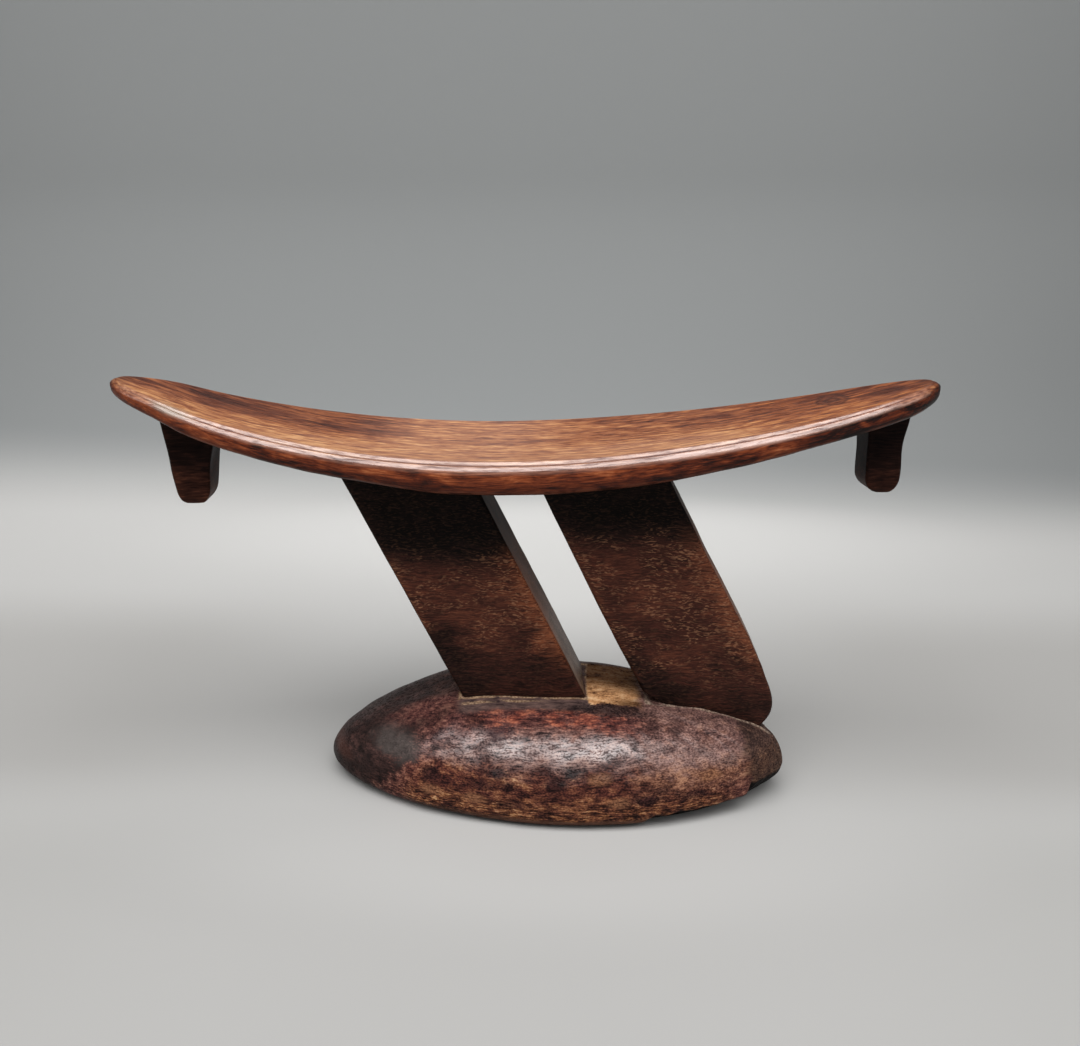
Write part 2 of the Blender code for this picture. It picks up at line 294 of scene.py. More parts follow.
def platform_rings(points=560):
    """Leaf-shaped plan, an ellipse drawn in between its middle and its ends, repeated for each point of the
    cross-section: drawn in by the inset and lowered from the rim curve by the drop. The beads and the line
    between them waver along the way and narrow toward both ends, where the side takes up what they lose."""
    inset, drop, side, belly, girth = (column[:, None] for column in platform_profile().T)
    angle = 2.0 * np.pi * np.arange(points)[None] / points
    waver = ripples(np.cos(angle), np.sin(angle), 0.0 * angle, 0.5, 5)
    band = np.clip(1.0 - np.abs(girth - 1.4) / 0.8, 0.0, 1.0)
    narrow = BEAD_NARROW * smoothstep(0.60, 0.90, np.abs(np.cos(angle)))
    inset = inset * (1.0 + (BEAD_WAVER * waver - narrow) * band)
    drop = drop * (1.0 - narrow) + side * narrow * BEAD_TAKEN_UP
    x = (0.5 * PLATFORM_LENGTH - inset) * np.cos(angle)
    sway = 1.0 - PLATFORM_PINCH * np.sin(2.0 * angle) ** 2
    y = STRUT_SETBACK + (0.5 * PLATFORM_WIDTH - inset) * np.sin(angle) * sway
    z = rim_height(x) - drop - side * side_height(x) - belly * belly_height(x)
    rings = np.stack([x, y, z], axis=-1)
    rough_cut = 0.18 + 0.82 * smoothstep(1.9, 3.2, girth)
    uneven = rough_cut * knife_marks(x, y, z, (0.00014, 0.040, 11), (0.00004, 0.010, 12))
    return carve(rings, uneven), np.broadcast_to(girth, x.shape)


# Foot

def foot_plan(share, angle):
    """Superellipse plan, scaled by a share and turned a little about its own middle."""
    power = 2.0 / FOOT_PLAN_POWER
    across = share * 0.5 * FOOT_LENGTH * np.sign(np.cos(angle)) * np.abs(np.cos(angle)) ** power
    along = share * 0.5 * FOOT_WIDTH * np.sign(np.sin(angle)) * np.abs(np.sin(angle)) ** power
    x = FOOT_X + across * math.cos(FOOT_TURN) - along * math.sin(FOOT_TURN)
    y = across * math.sin(FOOT_TURN) + along * math.cos(FOOT_TURN)
    return x, y


def beside_struts(x, y):
    """Distance outside the rectangle that the two struts stand on."""
    reach = 0.5 * (LEFT_STRUT_WIDTH + STRUT_SPACING + RIGHT_STRUT_WIDTH)
    out_x = np.maximum(np.abs(x - STRUT_STAND_X - 0.001) - reach, 0.0)
    out_y = np.maximum(np.abs(y - STRUT_SETBACK) - 0.5 * STRUT_DEPTH, 0.0)
    return np.hypot(out_x, out_y)


def top_lie(x, y):
    """How the dome's top departs from its own law: swelling where it meets the left strut's outer side, and
    falling toward the right under the struts, each eased over a stretch and faded toward the long sides."""
    swelling = FOOT_SWELLING * smoothstep(0.002, -0.026, x) * np.exp(-(beside_struts(x, y) / 0.010) ** 2)
    sides = smoothstep(-0.032, -0.012, y) * smoothstep(0.026, 0.012, y)
    return swelling - steps_along(x, FOOT_FALLS) * sides


def worn_height(heading):
    """Height of the foot's lower edge where its front right is worn away, a polyline over the heading with a
    step at the notch, and the share of that wear, 0 where the foot is whole."""
    edge = np.interp(heading, *zip(*FOOT_WORN)) / MM
    return edge, smoothstep(-1.09, -1.04, heading) * smoothstep(0.42, 0.22, heading)


def foot_rings(points=512):
    """Dome: bottom height plus the rest times (1 - share^full)^(1/full), fuller toward the sides than the
    ends, with the lie of its top added; then a quarter round under the widest line, and the flat underside.
    Where the edge is worn, the bottom height rises to it and a slope falls inward from it, straight in front
    and rounded at the right end. Also gives the wear mark: 0 on the dome, 1 where that slope ends."""
    heading = 2.0 * np.pi * np.arange(points)[None] / points
    heading = np.where(heading > np.pi, heading - 2.0 * np.pi, heading)
    share = np.sin(0.5 * np.pi * np.linspace(0.012, 1.0, 100))[:, None]
    c2 = np.cos(heading) ** 2
    sides = FOOT_FULL_SIDES - FOOT_FRONT_LACKS * smoothstep(0.0, 0.7, -np.sin(heading))
    full = np.where(np.cos(heading) > 0.0, FOOT_FULL_RIGHT, FOOT_FULL_LEFT) * c2 + sides * (1.0 - c2)
    edge, worn = worn_height(heading)
    bottom = FOOT_BULGE + worn * (edge - FOOT_BULGE)
    bottom = bottom + worn * 0.0002 * ripples(np.cos(heading), np.sin(heading), 0.0 * heading, 0.06, 23)
    dome = bottom + (FOOT_HEIGHT - bottom) * np.maximum(1.0 - share ** full, 0.0) ** (1.0 / full)
    x, y = foot_plan(share, heading)
    dome = dome + top_lie(x, y) * (1.0 - share ** 4)
    t = np.linspace(0.0, 1.0, 26)[1:, None]
    tuck = 2.0 * FOOT_TUCK / FOOT_WIDTH
    slope = t ** (1.0 + 0.8 * smoothstep(-0.53, -0.45, heading))
    tuck_share = 1.0 - tuck * ((1.0 - worn) * (1.0 - np.cos(0.5 * np.pi * t)) + worn * slope)
    tuck_z = bottom * (1.0 - (1.0 - worn) * np.sin(0.5 * np.pi * t) - worn * t)
    flat = (1.0 - tuck) * (1.0 - np.linspace(0.0, 0.99, 40)[1:, None] ** 1.4) + 0.0 * heading
    share = np.concatenate([share + 0.0 * heading, tuck_share, flat])
    x, y = foot_plan(share, heading)
    z = np.concatenate([dome, tuck_z, 0.0 * flat])
    uneven = knife_marks(x, y, z, (0.00018, 0.032, 21), (0.00011, 0.012, 22))
    rings = carve(np.stack([x, y, z], axis=-1), (uneven - 0.0001) * smoothstep(0.0005, 0.006, z))
    wear = np.concatenate([0.0 * dome, worn * t, worn + 0.0 * flat])
    return rings, wear


# Struts

def strut_x(z):
    """Middle of the strut pair at a height: a straight line leaning left as it rises."""
    return STRUT_STAND_X + (FOOT_HEIGHT - z) * math.tan(STRUT_LEAN)


def rounded_box(left, right, depth, corner, wide_steps=60, deep_steps=28, arc_steps=14):
    """Outline of a rectangle with rounded corners, walked once round from its right side: each straight runs
    along the inner rectangle at one corner's reach from it, and each corner is a quarter circle."""
    corners = ((1, -1), (1, 1), (-1, 1), (-1, -1), (1, -1))
    wide, deep, out_x, out_y = [], [], [], []
    for k in range(4):
        steps = deep_steps if k % 2 == 0 else wide_steps
        t = np.concatenate([np.linspace(0.0, 1.0, steps, endpoint=False), np.ones(arc_steps)])
        turn = np.concatenate([np.zeros(steps), np.linspace(0.0, 1.0, arc_steps, endpoint=False)])
        heading = 0.5 * np.pi * (k + turn)
        wide.append(corners[k][0] + (corners[k + 1][0] - corners[k][0]) * t)
        deep.append(corners[k][1] + (corners[k + 1][1] - corners[k][1]) * t)
        out_x.append(np.cos(heading))
        out_y.append(np.sin(heading))
    wide, deep, out_x, out_y = (np.concatenate(parts)[None] for parts in (wide, deep, out_x, out_y))
    x = 0.5 * (left + right) + wide * (0.5 * (right - left) - corner) + out_x * corner
    y = deep * (0.5 * depth - corner) + out_y * corner
    return x, y


def strut_rings(middle, width, seed, trim=0.0, heel=(), toe=0.0, swell=0.0, flare_left=0.0, flare_right=0.0,
                rows=150):
    """Rounded rectangle carried up a leaning line. The right edge, drawn in by the trim, bows by a sine and
    passes below into the heel, a quartic through given places (height, distance); the left edge runs into a
    round toe. Each side can flare: wider at the front face by its flare, and narrower by as much behind."""
    low = FOOT_HEIGHT - FOOT_SOCKET
    high = underside_height(strut_x(PLATFORM_HEIGHT) + middle) + PLATFORM_SOCKET
    z = np.linspace(low, high, rows)[:, None]
    share = (z - low) / (high - low)
    right = 0.5 * width - trim + swell * np.sin(np.pi * share)
    if heel:
        right = right + STRUT_HEEL_FULL * smoothstep(0.095, 0.060, z)
        curve = np.polyval(np.polyfit(*np.array(heel).T, 4), MM * z) / MM - strut_x(z) - middle
        right = curve + (right - curve) * smoothstep(0.046, 0.053, z)
    left = -0.5 * width + toe * smoothstep(FOOT_HEIGHT + 0.004, FOOT_HEIGHT - 0.0045, z) ** 2.3
    across, deep = rounded_box(left, right, STRUT_DEPTH, STRUT_EDGE)
    side = 2.0 * across / width
    flare = flare_right * np.clip(side, 0.0, 1.0) + flare_left * np.clip(side, -1.0, 0.0)
    across = across - 2.0 * deep / STRUT_DEPTH * flare
    x = strut_x(z) + middle + across
    y = STRUT_SETBACK + deep + 0.0 * z
    z = z + 0.0 * x
    rings = np.stack([x, y, z], axis=-1)
    hush = smoothstep(0.0, 0.05, share) * smoothstep(1.0, 0.95, share)
    uneven = knife_marks(x, y, z, (0.00012, 0.060, seed), (0.00004, 0.014, seed + 1))
    rings = carve(rings, (uneven - 0.00006) * hush)
    return capped(rings, np.array([0.02, 0.5, 0.97]))


# Lugs

def lug_rings(middle, width, drop, cuts, wave, seed, rows=90):
    """Rounded rectangle that narrows toward its tip, carried down from its socket; near the tip each side is
    drawn in along a quarter round of its own reach, and the right edge tapers more and waves by a sine."""
    high = underside_height(middle) + LUG_SOCKET
    low = underside_height(middle) - drop
    share = np.linspace(0.0, 1.0, rows)[:, None]
    z = low + (high - low) * share
    tip = np.clip((z - low) / LUG_TIP_HEIGHT, 0.0, 1.0)
    shrink = 1.0 - np.sqrt(np.maximum(1.0 - (1.0 - tip) ** 2, 0.0))
    half = 0.5 * (LUG_TIP_WIDTH + (width - LUG_TIP_WIDTH) * share) + 0.0003
    depth = LUG_DEPTH * (0.82 + 0.18 * share) - LUG_TIP_THINNING * shrink
    taper = LUG_TAPER * (width - LUG_TIP_WIDTH) * (1.0 - share)
    right = half - cuts[1] * shrink + wave * np.sin(2.6 * np.pi * share) - taper
    across, deep = rounded_box(cuts[0] * shrink - half, right, depth, LUG_EDGE, wide_steps=36, deep_steps=40)
    x = middle + across * math.cos(LUG_TURN) - deep * math.sin(LUG_TURN)
    y = STRUT_SETBACK + across * math.sin(LUG_TURN) + deep * math.cos(LUG_TURN)
    z = z + 0.0 * x
    rings = np.stack([x, y, z], axis=-1)
    hush = smoothstep(0.0, 0.06, share) * smoothstep(1.0, 0.92, share)
    rings = carve(rings, (knife_marks(x, y, z, (0.00016, 0.016, seed)) - 0.00006) * hush)
    return capped(rings, np.array([0.02, 0.4, 0.75]))


# Finishes

def shade(red, green, blue):
    """Colour as a screen shows it, 0 to 255, turned into the linear values that a shader takes."""
    values = [v / 255.0 for v in (red, green, blue)]
    return tuple(v / 12.92 if v <= 0.04045 else ((v + 0.055) / 1.055) ** 2.4 for v in values) + (1.0,)


class Wire:
    """One shader value. Arithmetic on it adds Math nodes to its tree; add() brings in any other node."""

    def __init__(self, tree, socket=None):
        self.tree = tree
        self.socket = socket

    def add(self, kind, settings=None, sockets=None, out=0):
        """A node of one kind: its settings first, then its sockets' values or links. Returns one output."""
        node = self.tree.nodes.new("ShaderNode" + kind)
        for key, value in (settings or {}).items():
            setattr(node, key, value)
        for key, value in (sockets or {}).items():
            if isinstance(value, Wire):
                self.tree.links.new(value.socket, node.inputs[key])
            else:
                node.inputs[key].default_value = value
        return Wire(self.tree, node.outputs[out])

    def math(self, operation, *values):
        return self.add("Math", {"operation": operation}, dict(enumerate(values)))

    def __add__(self, other):
        return self.math("ADD", self, other)

    def __sub__(self, other):
        return self.math("SUBTRACT", self, other)

    def __rsub__(self, other):
        return self.math("SUBTRACT", other, self)

    def __mul__(self, other):
        return self.math("MULTIPLY", self, other)

    def __truediv__(self, other):
        return self.math("DIVIDE", self, other)

    def __pow__(self, other):
        return self.math("POWER", self, other)

    __radd__ = __add__
    __rmul__ = __mul__

    def most(self, other):
        return self.math("MAXIMUM", self, other)

    def least(self, other):
        return self.math("MINIMUM", self, other)

    def size(self):
        return self.math("ABSOLUTE", self)

    def sine(self):
        return self.math("SINE", self)

    def ramp(self, *stops):
        """Colour along this value, given as stops: a place, then red, green and blue as on a screen."""
        node = self.tree.nodes.new("ShaderNodeValToRGB")
        self.tree.links.new(self.socket, node.inputs[0])
        elements = node.color_ramp.elements
        for place, *_ in stops[1:-1]:
            elements.new(place)
        for element, (place, *colour) in zip(elements, stops):
            element.position = place
            element.color = shade(*colour)
        return Wire(self.tree, node.outputs[0])

    def spread(self, gain):
        """Noise spread about its middle by a gain, with the middle left at zero."""
        return (self - 0.5) * gain

    def rise(self, low, high):
        """0 at low, 1 at high, eased at both ends; falls where low is the greater."""
        return self.add("MapRange", {"interpolation_type": "SMOOTHSTEP"},
                        {"Value": self, "From Min": low, "From Max": high, "To Min": 0.0, "To Max": 1.0})

    def each(self, operation, other):
        """Vector Math of this place vector and another one, or a fixed one."""
        return self.add("VectorMath", {"operation": operation}, {0: self, 1: other})

    def cells(self, along, across, up):
        """The place vector divided by a cell's length, width and height in millimetres."""
        return self.each("DIVIDE", (along, across, up))

    def cloud(self, detail=2.0, roughness=0.5, warp=0.0):
        """Soft noise on a place vector, about 0.5 in the middle."""
        return self.add("TexNoise", None, {"Vector": self, "Scale": 1.0, "Detail": detail,
                                           "Roughness": roughness, "Distortion": warp}, "Fac")

    def over(self, under, cover):
        """This value as the share of a cover colour laid over an under colour."""
        return self.add("Mix", {"data_type": "RGBA"}, {0: self, 6: under, 7: cover}, 2)

    def darken(self, colour, by):
        """This value as the share of a colour multiplied by another."""
        settings = {"data_type": "RGBA", "blend_type": "MULTIPLY"}
        return self.add("Mix", settings, {0: self, 6: colour, 7: by}, 2)


WAX_IOR = 2.1


class Finish:
    """A new material: the start of its tree, its place in millimetres, and its way out to the shader."""

    def __init__(self, name):
        self.material = bpy.data.materials.new(name)
        self.material.use_nodes = True
        tree = self.material.node_tree
        self.shader = tree.nodes["Principled BSDF"]
        self.start = Wire(tree)
        place = self.start.add("TexCoord", out="Object")
        self.place = place.each("MULTIPLY", (MM, MM, MM))
        self.x, self.y, self.z = (self.place.add("SeparateXYZ", None, {0: self.place}, k) for k in range(3))

    def vector(self, x, y, z):
        return self.start.add("CombineXYZ", None, {0: x, 1: y, 2: z})

    def mark(self, name):
        """A value that the mesh carries at its points."""
        return self.start.add("Attribute", {"attribute_name": name}, None, "Fac")

    def wander(self, place, cell, reach):
        """A place vector pushed about by soft noise of one cell size, by up to about reach millimetres."""
        noise = {"Vector": place.cells(cell, cell, cell), "Scale": 1.0, "Detail": 1.0}
        drift = place.add("TexNoise", None, noise, "Color").each("SUBTRACT", (0.5, 0.5, 0.5))
        return place.each("ADD", drift.each("MULTIPLY", (2 * reach, 2 * reach, 2 * reach)))

    def spot(self, first, second, ragged):
        """1 about a middle, falling to 0 over an ellipse, from two values each with its middle and reach;
        ragged is added to the distance."""
        across, along = ((value - middle) / reach for value, middle, reach in (first, second))
        return ((across * across + along * along) ** 0.5 + ragged).rise(1.0, 0.3)

    def close(self, colour, roughness, wax, height, depth, sheen, polish):
        """Joins colour, roughness, the share of a thin wax coat and a bump of one depth in metres to the
        shader; sheen is the strength of the bare wood's own reflection, polish the wax coat's roughness."""
        bump = self.start.add("Bump", None, {"Height": height, "Strength": 1.0, "Distance": depth})
        sockets = self.shader.inputs
        for name, value in (("Base Color", colour), ("Roughness", roughness), ("Coat Weight", wax),
                            ("Normal", bump)):
            self.material.node_tree.links.new(value.socket, sockets[name])
        for name, value in (("Specular IOR Level", sheen), ("Coat Roughness", polish), ("Coat IOR", WAX_IOR)):
            sockets[name].default_value = value
        return self.material


# dark spots on the platform's upper face: place along and across, length and depth, in millimetres
PLATFORM_DARK_SPOTS = ((-68, 14, 22, 12), (64, 19, 24, 10), (131, 10, 15, 8))


def platform_finish():
    """Warm orange-brown upper face with short dashes along the length, darker and browner toward its far
    edge, partly as painted shade, with a pale painted sheen about its middle; a pale worn rim in two beads,
    partly painted highlight, with painted shade in the line between them; red-brown sides with black patches,
    darker toward their lower edge as painted shade; dull dark underside."""
    f = Finish("platform_wood")
    girth = f.mark("girth")
    u = f.x / (0.5 * PLATFORM_LENGTH * MM)
    sway = (u * math.pi).sine() * (PLATFORM_SWAY * MM)
    flow = f.vector(f.x, f.y, f.z - (PLATFORM_HEIGHT * MM + u * u * (PLATFORM_END_RISE * MM) + sway))
    bent = f.wander(flow, 22, 1.6)
    broad = bent.cells(60, 9, 6).cloud(3.0, 0.55, 0.3)
    fibre = bent.cells(22, 2.2, 0.9).cloud(3.0, 0.62)
    dash = f.wander(flow, 8, 0.5).cells(6.5, 1.3, 0.5).cloud(2.0, 0.6)
    patch = f.wander(flow, 16, 5).cells(14, 6, 3.6).cloud(4.0, 0.6)
    # upper face
    ragged = patch.spread(1.7)
    shift = f.y + broad.spread(16) + patch.spread(10)
    near = shift.rise(6, -12)
    # darker toward the far edge: partly the wood's own tone, partly painted shade of the dished top
    dark = shift.rise(1, 13) * (f.x + broad.spread(30)).rise(-38, -62)
    dark = dark * (0.75 + f.x.rise(-85, -105) * 0.35)
    dark = dark.most(shift.rise(6, 18) * (f.x + broad.spread(40)).rise(5, 60) * 0.50)
    for x, y, wide, deep in PLATFORM_DARK_SPOTS:
        dark = dark.most(f.spot((f.x, x, wide), (f.y, y, deep), ragged))
    tone = 0.54 + near * 0.10 - dark * 0.29 - f.x.rise(70, 100) * 0.15
    tone = tone + broad.spread(0.7) + fibre.spread(1.1) + dash.spread(1.1) * (1.0 - dark * 0.4)
    upper = tone.ramp((0.0, 58, 25, 17), (0.25, 104, 54, 36), (0.5, 154, 92, 58),
                      (0.75, 198, 136, 88), (1.0, 236, 184, 130))
    # the knot: uneven rings about one middle
    knot_x, knot_y = (f.x - 114.6) / 5.2, (f.y - 15.0) / 8.5
    knot = (knot_x * knot_x + knot_y * knot_y) ** 0.5
    knot = knot + patch.spread(1) + fibre.spread(0.5) + dash.spread(0.7)
    rings = ((knot * 9.5 - 1.8).sine() * 0.5 + 0.5).rise(0, 0.8) * knot.rise(1.25, 0.9)
    upper = (knot.rise(1.3, 0.7) * 0.5).over(upper, shade(92, 50, 37))
    upper = (rings * 0.65).over(upper, shade(50, 22, 18))
    # a pale painted sheen on the near half's middle and about the middle of the face, and warmer wood at the
    # right end
    painted_sheen = (near * f.x.size().rise(120, 50) * 0.08).most((f.x + 22.0).size().rise(50, 12) * 0.12)
    upper = painted_sheen.over(upper, shade(222, 190, 176))
    upper = (f.x.rise(66, 100) * 0.8).darken(upper, shade(255, 240, 214))
    # rim and sides
    grime = 0.46 + patch.spread(1.5) + fibre.spread(0.8) + dash.spread(0.8) + f.x.rise(-80, -115) * 0.2
    grime = grime + f.x.size().rise(60, 20) * 0.12 - f.x.rise(92, 112) * 0.2
    grime = grime + f.x.rise(62, 76) * f.x.rise(100, 88) * 0.12
    side = grime.ramp((0.0, 12, 6, 5), (0.24, 44, 17, 11), (0.48, 96, 41, 22),
                      (0.75, 142, 70, 38), (1.0, 190, 114, 72))
    # painted shade: the side darker toward its lower edge, where it turns under
    side = (girth.rise(2.40, 2.85) * 0.8).darken(side, shade(150, 130, 126))
    tips = (f.x.size() + patch.spread(14)).rise(139, 149)
    bead = girth.rise(0.90, 0.97) * girth.rise(2.25, 2.05) * (1.0 - tips)
    line = (girth - 1.42).size().rise(0.34, 0.14) * (1.0 - tips)
    under = grime.ramp((0.0, 14, 8, 6), (0.5, 44, 24, 16), (1.0, 90, 52, 35))
    colour = girth.rise(1.7, 2.05).over(upper, side)
    # the beads: pale worn wood, partly painted highlight
    pale = (0.5 + fibre.spread(1.2) + dash.spread(1.2)).ramp((0.15, 104, 62, 50), (0.8, 188, 136, 112))
    colour = (bead * 0.7).over(colour, pale)
    # painted highlight on the lower bead of the near rim's right half
    painted_highlight_facet = f.x.rise(44, 54) * f.x.rise(106, 84) * girth.rise(1.5, 1.75) * girth.rise(2.2, 2.05)
    colour = (painted_highlight_facet * f.y.rise(0, -6) * 0.5).over(colour, shade(200, 160, 146))
    # painted shade in the incised line between the beads
    colour = (line * 0.6).over(colour, shade(92, 66, 66))
    # painted highlight: a grey patch on the rim's flat near the left tip
    bare = f.spot((f.x, -122, 13), (girth, 1.5, 0.9), ragged * 0.6) * f.y.rise(0, -4)
    colour = (bare * 0.6).over(colour, shade(150, 138, 122))
    worn = (girth - 2.86).size().rise(0.12, 0.03) * patch.rise(0.4, 0.55)
    colour = girth.rise(2.80, 3).over(colour, under)
    colour = (worn * 0.4).over(colour, shade(126, 76, 58))
    colour = (tips * 0.6).darken(colour, shade(120, 92, 84))
    pores = dash.rise(0.44, 0.36)
    roughness = 0.40 + fibre.spread(0.3) + pores * 0.1
    rubbed = (f.x.size() + patch.spread(40)).rise(152, 112) * 0.7 + 0.3
    wax = bead * rubbed * (1.0 - line * 0.7) * (1.0 - pores * 0.5) * (0.7 + fibre.spread(1.4)) + 0.03
    height = fibre * 0.5 + dash * 0.6 - pores * 0.4
    return f.close(colour, roughness, wax.least(1.0), height, depth=0.00012, sheen=0.12, polish=0.20)


def strut_finish(name, middle, top_dark, pale_low, pale_high, low_dark, glow):
    """Nearly black brown, darkest under the platform where shade is painted, with pale level pores that curl
    in the middle of the height, a warm worn right edge and bare wood on the right cheek, warm above and paler
    and waxed below, the paleness partly painted light. The heights, in millimetres, are those of the painted
    shade under the platform, of the pale pores' lower and upper end and of the dark at the foot; glow is the
    strength of the worn edge."""
    f = Finish(name)
    across = f.x - (STRUT_STAND_X + middle) * MM - (FOOT_HEIGHT * MM - f.z) * math.tan(STRUT_LEAN)
    curl = f.wander(f.wander(f.place, 15, 1.4), 4, 0.8)
    broad = f.place.cells(26, 14, 12).cloud(3.0, 0.55, 0.5)
    fibre = curl.cells(6.5, 0.9, 0.50).cloud(3.0, 0.62)
    dash = curl.cells(1.8, 0.8, 0.46).cloud(1.0, 0.5)
    zone = (f.z + broad.spread(40)).rise(pale_low - 10, pale_low + 8)
    zone = zone * (f.z + broad.spread(30)).rise(pale_high + 6, pale_high - 8)
    cluster = curl.cells(11, 5, 6).cloud(2.0, 0.5) + across.rise(-10, 16) * 0.10
    pores = dash.rise(0.52, 0.68) * (0.10 + zone * cluster.rise(0.42, 0.66) * 0.90)
    # painted shade under the platform, less of it toward the left edge where painted bounce light lies
    shadow = (f.z + broad.spread(18)).rise(top_dark - 9, top_dark + 7)
    shadow = shadow * (1.0 - across.rise(-12, -23) * 0.35)
    base = (f.z + broad.spread(20)).rise(low_dark + 8, low_dark - 8)
    tone = 0.46 + broad.spread(0.6) + fibre.spread(1.1) + zone * 0.12 - shadow * 0.44 - base * 0.08
    tone = tone - (across + broad.spread(20)).rise(-6, -18) * f.z.rise(82, 70) * 0.15
    colour = tone.ramp((0.0, 10, 6, 5), (0.28, 35, 21, 18), (0.58, 67, 37, 30), (1.0, 118, 68, 49))
    edge = (across + fibre.spread(14) + broad.spread(16)).rise(13, 25) * f.z.rise(44, 58)
    edge = (edge * (1.0 - shadow)).most((fibre.spread(10) - across).rise(19, 25) * 0.35 * zone)
    worn = fibre.rise(0.3, 0.7).over(shade(72, 34, 21), shade(142, 80, 49))
    colour = (edge * glow).over(colour, worn)
    colour = (pores * 0.44).over(colour, shade(176, 126, 94))
    # the right cheek: bare wood, warm above; paler below, partly painted light from the bright floor
    cheek = (f.y + 9.0).rise(0, 2) * across.rise(17, 20)
    grain = (fibre * 0.6 + broad * 0.4).rise(0.34, 0.66)
    pale = grain.over(shade(84, 60, 47), shade(142, 110, 85))
    warm = grain.over(shade(76, 47, 34), shade(138, 88, 62))
    bare = (f.z + broad.spread(30)).rise(44, 82).over(pale, warm)
    colour = (cheek * (1.0 - shadow * 0.6) * 0.85).over(colour, bare)
    roughness = 0.5 + fibre.spread(0.3)
    wax = (0.02 + edge * 0.06) * (1.0 - cheek) + cheek * (0.02 + f.z.rise(78, 54) * 0.20) * (0.5 + grain)
    height = fibre * 0.5 + pores * 0.5
    return f.close(colour, roughness, wax, height, depth=0.00007, sheen=0.03, polish=0.35)


# tan spots on the foot's front: place along the length and height, in millimetres
FOOT_TAN_SPOTS = ((36.6, 11.4), (29.3, 20.1), (69.6, 17.9), (-16, 10.5), (-32, 10.8))
# dark spots there, above and below the shoulder: place, height, length, depth and strength
FOOT_DARK_SPOTS = (
    (-33, 30.6, 7, 3, 0.6), (-16, 33.2, 6.5, 2.6, 0.7), (48, 32.4, 6.5, 2.4, 0.5),
    (57.2, 31.2, 5, 2.2, 0.45), (19.7, 22.4, 6, 3.6, 1), (13.4, 18.3, 6.5, 4, 1),
    (8.6, 23.3, 5, 3, 0.5), (-7.2, 20.4, 6.5, 3.2, 1), (46.2, 11.8, 10, 2.8, 1),
    (-33, 17, 6, 3.6, 0.9), (-3.6, 16.6, 5, 2.8, 0.9), (77.4, 21.3, 6, 3, 0.45),
    (-12, 16, 8, 3, 0.7), (64, 11.5, 9, 2.4, 0.7), (-3, 9.5, 9, 2.4, 0.7),
    (68, 25.5, 5, 3, 0.3))


